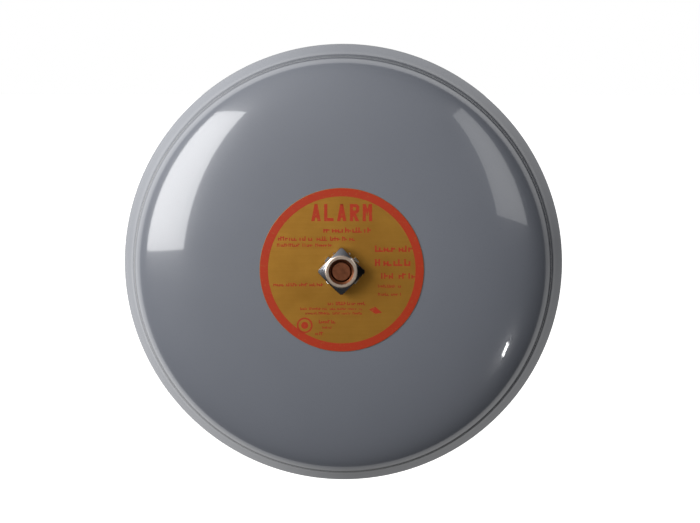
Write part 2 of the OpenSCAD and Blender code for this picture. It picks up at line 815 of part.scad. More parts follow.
module leaf_clamp_screws() {
    head_y = clamp_bar_y - clamp_bar_t - touch_gap;
    color("silver") on_wall() for (x = clamp_screw_xs) translate([x, head_y, axis_z]) rotate([90, 0, 0])
        pan_screw(-7, 0, small_screw_r, head = 1.9, height = 1.4, turn = x * 20);
}

// The leaf bends at its root, where it turns about the middle of its thickness
module contact_leaf() {
    color("goldenrod") on_wall() strip(leaf_tip_x, leaf_root_x - touch_gap, leaf_bottom_y, leaf_top_y);
}

module contact_button() {
    color("white") on_wall() bar(1.6, leaf_top_y, leaf_top_y + button_h, contact_x);
}

// ---------- spark suppressor ----------

// A cylinder along x, on the capacitor's axis
module across(r, x0, x1) {
    translate([x0, cap_y, cap_z]) rotate([0, 90, 0]) cylinder(r = r, h = x1 - x0);
}

module capacitor() {
    color("orange") on_wall() across(cap_r, cap_x[0], cap_x[1]);
}

module capacitor_clip() {
    x0 = cap_clip_x - 2.5;
    x1 = cap_clip_x + 2.5;
    foot_end = cap_clip_screw_y + 3.4;
    strap_r = cap_r + cap_clip_t + touch_gap;
    color("silver") on_wall() difference() {
        union() {
            across(strap_r, x0, x1);
            block([x0, cap_y, plate_t + touch_gap], [x1, foot_end, plate_t + cap_clip_t]);
        }
        across(cap_r + touch_gap, x0 - 1, x1 + 1);
        block([x0 - 1, cap_y - strap_r - 1, -1], [x1 + 1, foot_end + 1, plate_t + touch_gap]);
        disc(shank_r + thread_gap, 0, 9, [cap_clip_x, cap_clip_screw_y]);
    }
}

module capacitor_clip_screw() {
    color("silver") on_wall() translate([cap_clip_x, cap_clip_screw_y, 0])
        pan_screw(touch_gap, plate_t + cap_clip_t + touch_gap, head = 2.6, height = 1.8, turn = 15);
}

// ---------- leads ----------

module lead_coil_supply() { color("firebrick") lead(lead_coil_supply_path, [0.2, -0.5, -1]); }
module lead_coil_contact() { color("firebrick") lead(lead_coil_contact_path); }
module lead_leaf_supply() { color("black") lead(lead_leaf_supply_path); }
module lead_cap_contact() { color("white") lead(lead_cap_contact_path); }
module lead_cap_leaf() { color("white") lead(lead_cap_leaf_path, [0, 1, -0.5]); }

gong();
name_label();
gong_nut();
lock_washer();
gong_stud();
fibre_washer();
gong_post();
post_rivets();
back_plate();
wire_grommet();
terminal_block();
terminal_clamps();
terminal_screws();
block_mount_screws();
earth_washer();
earth_screw();
frame_pillars();
magnet_frame();
frame_screws();
coil_bobbin();
coil_winding();
coil_wrap();
guide_tube();
pole_bush();
plunger();
striker_rod();
bumper_washer();
retaining_clip();
drive_collar();
hammer_head();
return_spring();
guide_bracket();
guide_bush();
guide_screws();
contact_block();
contact_block_screw();
contact_bracket();
contact_bracket_screw();
contact_screw();
contact_lock_nut();
leaf_tag();
leaf_clamp();
leaf_clamp_screws();
contact_leaf();
contact_button();
capacitor();
capacitor_clip();
capacitor_clip_screw();
lead_coil_supply();
lead_coil_contact();
lead_leaf_supply();
lead_cap_contact();
lead_cap_leaf();
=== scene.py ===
"""The looks of a wall-mounted fire alarm bell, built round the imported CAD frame.

Everything is in metres in the CAD frame: +Z is up, the wall face is Y = 0 and the gong faces -Y.
Shapes are worked out in the front view that the CAD uses (x right, y up, z out of the wall, in
millimetres), and wall_point() turns that view into the frame.
"""
import math
import random

import bpy
from mathutils import Matrix, Vector


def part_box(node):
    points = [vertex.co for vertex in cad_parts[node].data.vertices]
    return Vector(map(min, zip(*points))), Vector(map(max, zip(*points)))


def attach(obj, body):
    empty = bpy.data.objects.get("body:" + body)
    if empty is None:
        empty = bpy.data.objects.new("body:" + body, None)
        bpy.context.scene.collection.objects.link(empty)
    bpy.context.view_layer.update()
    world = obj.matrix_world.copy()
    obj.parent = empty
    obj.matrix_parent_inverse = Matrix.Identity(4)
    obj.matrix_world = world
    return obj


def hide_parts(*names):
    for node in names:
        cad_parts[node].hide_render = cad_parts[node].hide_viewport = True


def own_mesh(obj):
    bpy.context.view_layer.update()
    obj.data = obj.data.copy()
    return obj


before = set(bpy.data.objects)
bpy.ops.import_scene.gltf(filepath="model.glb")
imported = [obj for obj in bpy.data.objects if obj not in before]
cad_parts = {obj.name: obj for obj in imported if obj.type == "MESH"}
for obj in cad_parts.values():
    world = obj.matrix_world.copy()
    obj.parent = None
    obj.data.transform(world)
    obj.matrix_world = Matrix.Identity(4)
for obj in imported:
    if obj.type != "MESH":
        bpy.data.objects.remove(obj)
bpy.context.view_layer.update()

MM = 0.001

# ---------------------------------------------------------------- sizes, in millimetres

FLARE_W = 5.6           # width of the rim's flared band
FLARE_ANGLE = math.radians(40)
FILLET_R = 11.0         # between the neck and the flare
GONG_T = 1.8            # sheet thickness
DOME_POWER = 2.6        # exponent of the dome's superellipse
GONG_HOLE_R = 5.16
NUT_AF = 15.875         # square nut, across the flats
NUT_CROWN_R = 7.0       # flat ring on the nut's front
NUT_CORNER_R = 10.65    # rounded corners of the nut
NUT_BEVEL = math.radians(36)
STUD_R = 4.76
STUD_PITCH = 1.5875     # 16 threads to the inch
LABEL_T = 0.25
LABEL_GAP = 0.05        # between the gong and its label
LABEL_BORDER = 3.8      # width of the red border
PRINT_T = 0.03          # how far the ink stands up from the foil
PRINT_SINK = 0.02       # how far it reaches into the foil
AXIS_Z = 30.0           # the striker's axis in front of the wall
SPRING_WIRE_R = 0.4
SPRING_TURNS = 4.5
GONG_SEGMENTS = 360
LABEL_SEGMENTS = 256
NUT_SEGMENTS = 384
STUD_SEGMENTS = 96

# ---------------------------------------------------------------- places, from the frame


def span(node):
    """A CAD node's lowest and highest corner in the front view, in millimetres."""
    low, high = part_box(node)
    return (
        Vector((low.x, low.z, -high.y)) / MM,
        Vector((high.x, high.z, -low.y)) / MM,
    )


GONG_LOW, GONG_HIGH = span("gong")
GONG_R = GONG_HIGH.x
RIM_Z = GONG_LOW.z
GONG_H = GONG_HIGH.z - GONG_LOW.z
NECK_R = GONG_R - FLARE_W
FLARE_LEN = (FLARE_W - (GONG_T / 2 + FILLET_R) * (1 - math.cos(FLARE_ANGLE))) / math.sin(FLARE_ANGLE)
NECK_Z = (
    GONG_T / 2 * (1 + math.sin(FLARE_ANGLE))
    + FLARE_LEN * math.cos(FLARE_ANGLE)
    + FILLET_R * math.sin(FLARE_ANGLE)
)
DOME_H = GONG_H - NECK_Z
LABEL_R = span("name_label")[1].x
NUT_LOW, NUT_HIGH = span("gong_nut")
NUT_H = NUT_HIGH.z - NUT_LOW.z
STUD_LOW, STUD_HIGH = span("gong_stud")


def wall_point(x, y, z):
    """A point of the front view, in the frame, in metres."""
    return Vector((x * MM, -z * MM, y * MM))


# ---------------------------------------------------------------- mesh helpers


def add_mesh(name, points, faces, material, body, slot, smooth=True, sharp_angle=35):
    mesh = bpy.data.meshes.new(name)
    mesh.from_pydata([tuple(p) for p in points], [], faces)
    mesh.validate()
    for polygon in mesh.polygons:
        polygon.use_smooth = smooth
    if smooth:
        mesh.set_sharp_from_angle(angle=math.radians(sharp_angle))
    mesh.update()
    piece = bpy.data.objects.new(name, mesh)
    bpy.context.scene.collection.objects.link(piece)
    mesh.materials.append(material)
    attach(piece, body)
    return piece


def turned(profile, segments, place, closed=True):
    """Points and faces of a profile turned about an axis.

    profile(angle) lists (radius, height) pairs, place(radius, angle, height) gives a point in the
    frame. A closed profile joins its last pair to its first.
    """
    rows = [profile(2 * math.pi * s / segments) for s in range(segments)]
    count = len(rows[0])
    points = [
        place(r, 2 * math.pi * s / segments, h) for s, row in enumerate(rows) for r, h in row
    ]
    faces = []
    for s in range(segments):
        after = (s + 1) % segments
        for i in range(count if closed else count - 1):
            j = (i + 1) % count
            faces.append((s * count + i, after * count + i, after * count + j, s * count + j))
    return points, faces


def out_of_wall(base):
    """Turning about the bell's own axis, with heights from base."""
    def place(r, angle, h):
        return wall_point(r * math.cos(angle), r * math.sin(angle), base + h)
    return place


def arc(cx, cy, r, start, end, steps):
    """Points along an arc, both ends included."""
    return [
        (cx + r * math.cos(start + (end - start) * i / steps),
         cy + r * math.sin(start + (end - start) * i / steps))
        for i in range(steps + 1)
    ]


# ---------------------------------------------------------------- material helpers


class Shader:
    """A Principled material, with short calls that add nodes to it."""

    def __init__(self, name, color, roughness, metallic=0.0, **constants):
        self.material = bpy.data.materials.new(name)
        self.material.use_nodes = True
        self.tree = self.material.node_tree
        self.bsdf = self.tree.nodes["Principled BSDF"]
        self.coords = None
        self.bsdf.inputs["Base Color"].default_value = (*color, 1)
        self.bsdf.inputs["Roughness"].default_value = roughness
        self.bsdf.inputs["Metallic"].default_value = metallic
        for key, value in constants.items():
            self.bsdf.inputs[key.replace("_", " ")].default_value = value

    def node(self, kind, settings=(), **inputs):
        made = self.tree.nodes.new(kind)
        for key, value in dict(settings).items():
            setattr(made, key, value)
        for key, value in inputs.items():
            self.feed(value, made.inputs[key.replace("_", " ")])
        return made

    def feed(self, value, socket):
        if isinstance(value, bpy.types.NodeSocket):
            self.tree.links.new(value, socket)
        else:
            socket.default_value = value

    def place(self):
        """Object coordinates, in metres."""
        if self.coords is None:
            self.coords = self.tree.nodes.new("ShaderNodeTexCoord")
        return self.coords.outputs["Object"]

    def stretched(self, scale):
        return self.node("ShaderNodeMapping", Vector=self.place(), Scale=scale).outputs["Vector"]

    def noise(self, scale, detail=3.0, roughness=0.5, stretch=None):
        vector = self.stretched(stretch) if stretch else self.place()
        made = self.node(
            "ShaderNodeTexNoise", Vector=vector, Scale=scale, Detail=detail, Roughness=roughness,
        )
        return made.outputs["Fac"]

    def ramp(self, value, stops):
        """stops are (position, grey or colour) pairs."""
        made = self.node("ShaderNodeValToRGB", Fac=value)
        elements = made.color_ramp.elements
        while len(elements) < len(stops):
            elements.new(0.5)
        for element, (position, tone) in zip(elements, stops):
            element.position = position
            element.color = (*tone, 1) if isinstance(tone, tuple) else (tone, tone, tone, 1)
        return made.outputs["Color"]

    def mix(self, factor, a, b):
        made = self.node("ShaderNodeMix", {"data_type": "RGBA"})
        self.feed(factor, made.inputs["Factor"])
        for value, socket in ((a, made.inputs[6]), (b, made.inputs[7])):
            self.feed((*value, 1) if isinstance(value, tuple) and len(value) == 3 else value, socket)
        return made.outputs[2]

    def math(self, operation, a, b=0.0):
        made = self.node("ShaderNodeMath", {"operation": operation})
        self.feed(a, made.inputs[0])
        self.feed(b, made.inputs[1])
        return made.outputs[0]

    def color(self, value):
        self.feed(value, self.bsdf.inputs["Base Color"])

    def roughness(self, value, low, high):
        made = self.node("ShaderNodeMapRange", Value=value, To_Min=low, To_Max=high)
        self.feed(made.outputs["Result"], self.bsdf.inputs["Roughness"])

    def bump(self, layers):
        """layers are (height, strength, distance in metres) triples, coarse first."""
        normal = None
        for height, strength, distance in layers:
            made = self.node("ShaderNodeBump", Height=height, Strength=strength, Distance=distance)
            if normal is not None:
                self.feed(normal, made.inputs["Normal"])
            normal = made.outputs["Normal"]
        self.feed(normal, self.bsdf.inputs["Normal"])


def enamel(name, tone, gloss):
    """Stoved enamel: faint orange peel, cloudy depth of colour, a little dust in the gloss."""
    dark = tuple(c * 0.93 for c in tone)
    light = tuple(min(1, c * 1.06) for c in tone)
    s = Shader(name, tone, gloss, Coat_Weight=1.0, Coat_Roughness=0.04, IOR=1.5)
    clouds = s.noise(14, 4, 0.55)
    s.color(s.mix(s.ramp(s.noise(1900, 2), [(0.30, 0.0), (0.36, 1.0)]), dark, s.mix(clouds, dark, light)))
    s.roughness(s.noise(60, 5, 0.65), gloss * 0.85, gloss * 1.3)
    peel = s.noise(420, 2, 0.45)
    s.bump([(s.noise(30, 2, 0.4), 0.10, 0.0006), (peel, 0.10, 0.00012)])
    return s.material


def foil():
    """Gold-coloured aluminium foil, brushed from side to side and a little tarnished."""
    s = Shader("label_foil", (0.43, 0.21, 0.03), 0.46, 0.75, Specular_IOR_Level=0.3)
    grain = s.noise(900, 4, 0.6, stretch=(0.04, 1, 1))
    tarnish = s.noise(55, 5, 0.6)
    gold = s.mix(grain, (0.40, 0.19, 0.024), (0.50, 0.255, 0.044))
    s.color(s.mix(s.ramp(tarnish, [(0.35, 0.0), (0.7, 0.6)]), gold, (0.32, 0.145, 0.02)))
    s.roughness(grain, 0.38, 0.55)
    s.bump([(s.noise(45, 2, 0.5), 0.25, 0.0003), (grain, 0.18, 0.00004)])
    return s.material


def printed(name, tone):
    """Screen-printed ink on the foil, thin in places."""
    s = Shader(name, tone, 0.45, Specular_IOR_Level=0.3)
    wear = s.noise(800, 4, 0.6)
    thin = tuple(0.6 * c + 0.4 * g for c, g in zip(tone, (0.30, 0.15, 0.03)))
    s.color(s.mix(s.ramp(wear, [(0.30, 1.0), (0.42, 0.0)]), tone, thin))
    s.roughness(s.noise(300, 3), 0.36, 0.55)
    s.bump([(wear, 0.2, 0.00002)])
    return s.material


def plated(name, tone, rough, streak=(1, 1, 1), scratch=0.25, dull=0.7):
    """Plated or machined metal with fine working marks and duller patches."""
    s = Shader(name, tone, rough, 1.0)
    marks = s.noise(1600, 3, 0.6, stretch=streak)
    patches = s.noise(240, 5, 0.6)
    low = tuple(c * dull for c in tone)
    s.color(s.mix(s.ramp(patches, [(0.38, 0.0), (0.72, 1.0)]), tone, low))
    s.roughness(patches, rough * 0.7, min(1, rough * 1.5))
    s.bump([(s.noise(350, 3, 0.5), scratch * 0.6, 0.00006), (marks, scratch, 0.00002)])
    return s.material


def moulded(name, tone, rough, speck=0.25):
    """Moulded plastic, phenolic or rubber with a fine skin texture and faint flow clouds."""
    s = Shader(name, tone, rough)
    flow = s.noise(120, 4, 0.6)
    lift = tuple(min(1, c * (1 + speck) + 0.004) for c in tone)
    s.color(s.mix(flow, tuple(c * (1 - speck) for c in tone), lift))
    s.roughness(s.noise(500, 3), rough * 0.85, min(1, rough * 1.15))
    s.bump([(s.noise(1500, 3, 0.6), 0.2, 0.00003), (flow, 0.15, 0.0001)])
    return s.material


# ---------------------------------------------------------------- the gong


def dome_z(r):
    """Height of the gong's outer face above its rim plane."""
    inside = max(0.0, 1 - (r / NECK_R) ** DOME_POWER)
    return NECK_Z + DOME_H * inside ** (1 / DOME_POWER)


def dome_curve(depth, steps=110):
    """The dome from its hole to its neck, moved inwards by depth."""
    curve = []
    start = math.asin((GONG_HOLE_R / NECK_R) ** (DOME_POWER / 2))
    for i in range(steps + 1):
        a = start + (math.pi / 2 - start) * i / steps
        r = NECK_R * math.sin(a) ** (2 / DOME_POWER)
        h = DOME_H * max(0.0, math.cos(a)) ** (2 / DOME_POWER)
        slope_r = (r / NECK_R) ** (DOME_POWER - 1) / NECK_R
        slope_h = (h / DOME_H) ** (DOME_POWER - 1) / DOME_H
        length = math.hypot(slope_r, slope_h)
        curve.append((r - depth * slope_r / length, NECK_Z + h - depth * slope_h / length))
    return curve


def gong_profile():
    """The gong's outline: dome, fillet, rounded lip, and the same again inside."""
    fillet = (NECK_R + FILLET_R, NECK_Z)
    lip = (GONG_R - GONG_T / 2, GONG_T / 2)
    turn = math.pi
    return (
        dome_curve(0)
        + arc(*fillet, FILLET_R, turn, turn + FLARE_ANGLE, 20)[1:]
        + arc(*lip, GONG_T / 2, FLARE_ANGLE, FLARE_ANGLE - turn, 16)
        + arc(*fillet, FILLET_R + GONG_T, turn + FLARE_ANGLE, turn, 20)
        + dome_curve(GONG_T)[::-1][1:]
    )


def build_gong():
    """The enamelled steel gong, turned from its outline."""
    tone = (0.158, 0.169, 0.196)
    outline = gong_profile()
    points, faces = turned(lambda angle: outline, GONG_SEGMENTS, out_of_wall(RIM_Z))
    piece = add_mesh("gong_shell", points, faces, enamel("gong_enamel", tone, 0.22), "frame", "gong_enamel")
    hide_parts("gong")


# ---------------------------------------------------------------- the label


def on_label(x, y, lift):
    """A point of the label's face in the frame; lift is its height above the foil."""
    r = math.hypot(x, y)
    return wall_point(x, y, RIM_Z + dome_z(r) + LABEL_GAP + LABEL_T + lift)


def build_foil():
    """The label's foil, which follows the dome."""
    hole_r = GONG_HOLE_R + 0.4
    edge = 0.08
    radii = [hole_r + (LABEL_R - edge - hole_r) * i / 40 for i in range(41)]
    top = [(r, dome_z(r) + LABEL_T) for r in radii]
    side = [(LABEL_R, dome_z(LABEL_R) + LABEL_T - edge), (LABEL_R, dome_z(LABEL_R))]
    bottom = [(r, dome_z(r)) for r in radii[::-1]]
    points, faces = turned(lambda angle: top + side + bottom, LABEL_SEGMENTS, out_of_wall(RIM_Z + LABEL_GAP))
    piece = add_mesh("label_disc", points, faces, foil(), "frame", "label_foil")
    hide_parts("name_label")


def printed_patch(outline_cells):
    """A thin raised print on the label from quads given as four (x, y) corners each."""
    points, faces = [], []
    for cell in outline_cells:
        base = len(points)
        points += [on_label(x, y, PRINT_T) for x, y in cell]
        points += [on_label(x, y, -PRINT_SINK) for x, y in cell]
        faces.append((base, base + 1, base + 2, base + 3))
        faces += [
            (base + i, base + 4 + i, base + 4 + (i + 1) % 4, base + (i + 1) % 4) for i in range(4)
        ]
    return points, faces


def rectangle(x0, y0, x1, y1):
    return [(x0, y0), (x1, y0), (x1, y1), (x0, y1)]


def greeked_line(rng, x0, x1, y, height, word=(2.2, 5.5), gap=0.9):
    """A line of small print shown as strokes too small to read."""
    cells = []
    x = x0
    stroke = height * 0.25
    while x < x1:
        word_end = min(x1, x + rng.uniform(*word))
        while x + stroke < word_end:
            tall = height * rng.choice((0.7, 0.7, 1.0))
            cells.append(rectangle(x, y, x + stroke, y + tall))
            if rng.random() < 0.8:
                bar_y = y + rng.choice((0.0, 0.5, 0.85)) * (tall - stroke)
                cells.append(rectangle(x, bar_y, x + 2.6 * stroke, bar_y + stroke))
            x += stroke * rng.choice((2.0, 2.5))
        x = word_end + gap
    return cells


# Lines of small print as (left, right, baseline, height), from the label's centre
SMALL_PRINT = [
    (-8.3, 12.2, 17.0, 2.4),
    (-28.8, 6.0, 13.3, 2.0),
    (-29.3, -4.2, 10.6, 1.5),
    (15.0, 31.6, 8.3, 2.9),
    (15.0, 31.8, 1.9, 3.2),
    (17.8, 32.6, -3.9, 2.6),
    (-31.0, -8.0, -7.4, 1.6),
    (16.4, 27.2, -7.9, 1.4),
    (16.4, 27.2, -11.6, 1.4),
    (-6.3, 10.6, -15.9, 1.6),
    (-18.8, 9.4, -18.2, 1.2),
    (-16.6, 9.4, -20.2, 1.2),
    (-10.4, -3.0, -24.3, 1.7),
    (-8.8, -3.8, -26.7, 1.1),
    (-12.0, -8.6, -29.7, 1.6),
]
HEADING = "ALARM"
HEADING_BASE = 22.2
HEADING_WIDTH = 27.5
LETTER_WIDTH = 4.3
LETTER_HEIGHT = 7.8
LETTER_STROKE = 1.5


def letter_cells(letter):
    """The plain block letters of the heading, as quads with the origin at their lower left."""
    w, h, t = LETTER_WIDTH, LETTER_HEIGHT, LETTER_STROKE
    post = rectangle(0, 0, t, h)
    middle = 0.44 * h
    if letter == "A":
        leg = [(0, 0), (t * 1.05, 0), (w / 2 + 0.45 * t, h), (w / 2 - 0.45 * t, h)]
        bar = rectangle(w * 0.22, 0.2 * h, w * 0.78, 0.2 * h + t * 0.8)
        return [leg, [(w - x, y) for x, y in leg[::-1]], bar]
    if letter == "L":
        return [post, rectangle(t, 0, w, t)]
    if letter == "R":
        corner = t * 0.7
        bowl = [
            rectangle(t, h - t, w - corner, h),
            rectangle(t, middle, w - corner, middle + t),
            rectangle(w - t, middle + corner, w, h - corner),
            [(w - corner, h - t), (w - t, h - corner), (w, h - corner), (w - corner, h)],
            [(w - corner, middle), (w, middle + corner), (w - t, middle + corner), (w - corner, middle + t)],
        ]
        return [post] + bowl + [[(w - 1.1 * t, 0), (w, 0), (w * 0.62, middle), (w * 0.62 - 1.1 * t, middle)]]
    side = [(t, h), (t, h - 2.1 * t), (w / 2, h * 0.3), (w / 2, h * 0.3 + 2.1 * t)]
    return [post, rectangle(w - t, 0, w, h), side[::-1], [(w - x, y) for x, y in side]]


def mark_cells():
    """A dot in a ring at the lower left and a diamond at the lower right, as quads."""
    ring_x = -16.8
    ring_y = -25.2
    ring_r = 3.6
    sectors = 32
    dot = (0.001, 0.45)
    ring = (0.781, 1.0)
    cells = []
    for s in range(sectors):
        a = 2 * math.pi * s / sectors
        b = 2 * math.pi * (s + 1) / sectors
        for low, high in (dot, ring):
            cells.append([
                (ring_x + ring_r * k * math.cos(t), ring_y + ring_r * k * math.sin(t))
                for k, t in ((low, a), (high, a), (high, b), (low, b))
            ])
    diamond = [(15.2, -16.6), (18.3, -19.4), (15.2, -19.9), (12.4, -17.9)]
    return cells + [diamond]


def build_print():
    """The label's ink: its border, unreadable small print, generic heading and plain marks."""
    ink = printed("label_ink", (0.37, 0.030, 0.008))
    border_in = LABEL_R - LABEL_BORDER
    bare_edge = 0.12
    steps = [border_in + (LABEL_BORDER - bare_edge) * i / 6 for i in range(7)]
    face = [(r, dome_z(r) + PRINT_T) for r in steps]
    back = [(r, dome_z(r) - PRINT_SINK) for r in steps[::-1]]
    base = RIM_Z + LABEL_GAP + LABEL_T
    points, faces = turned(lambda angle: face + back, LABEL_SEGMENTS, out_of_wall(base))
    add_mesh("label_border", points, faces, ink, "frame", "label_foil")

    rng = random.Random(8)
    cells = [c for line in SMALL_PRINT for c in greeked_line(rng, *line)]
    add_mesh("label_small_print", *printed_patch(cells), ink, "frame", "label_foil", smooth=False)

    step = (HEADING_WIDTH - LETTER_WIDTH) / (len(HEADING) - 1)
    cells = []
    for i, letter in enumerate(HEADING):
        left = i * step - HEADING_WIDTH / 2
        cells += [[(left + x, HEADING_BASE + y) for x, y in cell] for cell in letter_cells(letter)]
    add_mesh("label_heading", *printed_patch(cells), ink, "frame", "label_foil", smooth=False)

    add_mesh("label_marks", *printed_patch(mark_cells()), ink, "frame", "label_foil", smooth=False)


# ---------------------------------------------------------------- nut, washer and stud


def nut_metal():
    """Zinc plate: blue-grey corners partly darkened by painted shade, a light warm crown that is a painted
    highlight, rust in the countersink.
    """
    s = Shader("zinc_nut", (0.30, 0.31, 0.34), 0.2, 1.0)
    split = s.node("ShaderNodeSeparateXYZ", Vector=s.place())
    flat = s.node("ShaderNodeCombineXYZ", X=split.outputs["X"], Y=split.outputs["Z"])
    radius = s.node("ShaderNodeVectorMath", {"operation": "LENGTH"}, Vector=flat.outputs[0]).outputs["Value"]
    patches = s.noise(420, 5, 0.65)
    edge = s.math("ADD", s.math("MULTIPLY", radius, 100.0), s.math("MULTIPLY", patches, 0.08))
    # Past about 7.6 mm the corners take a darker blue-grey, partly the zinc's tone and partly painted shade;
    # inside it the light warm crown colour (0.70, 0.57, 0.47) is a painted highlight
    corner = s.ramp(edge, [(0.755, 0.0), (0.80, 1.0)])
    stain = s.ramp(edge, [(0.60, 1.0), (0.635, 0.0)])
    plate_and_shade = s.mix(patches, (0.24, 0.255, 0.29), (0.40, 0.40, 0.42))
    s.color(s.mix(stain, s.mix(corner, (0.70, 0.57, 0.47), plate_and_shade), (0.20, 0.075, 0.035)))
    s.roughness(s.math("ADD", s.math("MULTIPLY", corner, -0.6), s.math("ADD", patches, stain)), 0.16, 0.5)
    s.bump([(patches, 0.35, 0.00008), (s.noise(1800, 3, 0.6), 0.3, 0.00002)])
    return s.material


def build_nut():
    """A square nut: flat sides, corners turned off in a cone, and a countersunk hole."""
    half = NUT_AF / 2
    hole_r = STUD_R + 0.02
    sink_r = STUD_R + 0.9
    sink_depth = 0.9
    sink_edge = 0.12
    edge = 0.25

    def profile(angle):
        # The corners point up, down, left and right, so the flats face 45 degrees between them.
        flat = (angle % (math.pi / 2)) - math.pi / 4
        side = min(half / math.cos(flat), NUT_CORNER_R)
        top = NUT_H - (side - NUT_CROWN_R) * math.tan(NUT_BEVEL)
        bevel = [
            (NUT_CROWN_R + (side - edge - NUT_CROWN_R) * i / 4,
             NUT_H - (side - edge - NUT_CROWN_R) * i / 4 * math.tan(NUT_BEVEL))
            for i in range(1, 5)
        ]
        return (
            [(hole_r, 0.0), (hole_r, NUT_H - sink_depth), (sink_r, NUT_H - sink_edge),
             (sink_r + sink_edge, NUT_H), (NUT_CROWN_R - 0.1, NUT_H), (NUT_CROWN_R, NUT_H - 0.03)]
            + bevel
            + [(side, top - edge), (side, edge), (side - edge, 0.0)]
        )

    points, faces = turned(profile, NUT_SEGMENTS, out_of_wall(NUT_LOW.z))
    piece = add_mesh("square_nut", points, faces, nut_metal(), "frame", "zinc_plate", sharp_angle=12)
    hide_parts("gong_nut")


def build_stud():
    """The stud, with its thread and a slightly dished end that sits in the nut's countersink."""
    depth = 0.62
    centre_r = 0.01
    rows = 90
    length = STUD_HIGH.z - STUD_LOW.z
    chamfer = 0.8

    def profile(angle):
        wall = []
        for i in range(rows + 1):
            h = length * i / rows
            phase = (h / STUD_PITCH - angle / (2 * math.pi)) % 1.0
            groove = depth * abs(2 * phase - 1)
            limit = STUD_R - max(0.0, h - (length - chamfer))
            wall.append((min(STUD_R - groove, limit), h))
        dish = [(r, length - 0.06 + 0.05 * (r / 3) ** 2) for r in (3.6, 2.8, 1.9, 1.0, 0.35, centre_r)]
        return [(centre_r, 0.0)] + wall + dish

    points, faces = turned(profile, STUD_SEGMENTS, out_of_wall(STUD_LOW.z), closed=False)
    metal = plated("stud_copper", (0.27, 0.10, 0.05), 0.5, scratch=0.6, dull=0.5)
    piece = add_mesh("threaded_stud", points, faces, metal, "frame", "coppered_steel")
    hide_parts("gong_stud")


# ---------------------------------------------------------------- the return spring


def build_spring():
    """The coil spring under the drive collar, which on the real bell closes up as the striker goes down."""
    low, high = span("return_spring")
    wire_r = SPRING_WIRE_R
    coil_r = high.x - wire_r
    steps = int(SPRING_TURNS * 40)
    sides = 12
    rise = high.y - low.y - 2 * wire_r
    points = []
    faces = []
    for i in range(steps + 1):
        a = 2 * math.pi * SPRING_TURNS * i / steps
        y = low.y + wire_r + rise * i / steps
        for j in range(sides):
            b = 2 * math.pi * j / sides
            r = coil_r + wire_r * math.cos(b)
            points.append(wall_point(r * math.cos(a), y + wire_r * math.sin(b), AXIS_Z + r * math.sin(a)))
    for i in range(steps):
        for j in range(sides):
            k = (j + 1) % sides
            faces.append((i * sides + j, i * sides + k, (i + 1) * sides + k, (i + 1) * sides + j))
    faces += [tuple(range(sides))[::-1], tuple(steps * sides + j for j in range(sides))]
    wire = plated("spring_wire", (0.62, 0.62, 0.61), 0.22)
    spring = add_mesh("coil_spring", points, faces, wire, "frame", "stainless")
    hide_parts("return_spring")
    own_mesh(spring)


# ---------------------------------------------------------------- CAD nodes that stay


def dress(node, material, bevel=0.0):
    """A CAD node keeps its mesh; it gets a material and, where asked, softened edges."""
    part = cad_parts[node]
    part.data.materials.clear()
    part.data.materials.append(material)
    if bevel:
        rounding = part.modifiers.new("edges", "BEVEL")
        rounding.width = bevel * MM
        rounding.segments = 2
        rounding.limit_method = "ANGLE"
        rounding.angle_limit = math.radians(40)
        rounding.harden_normals = False


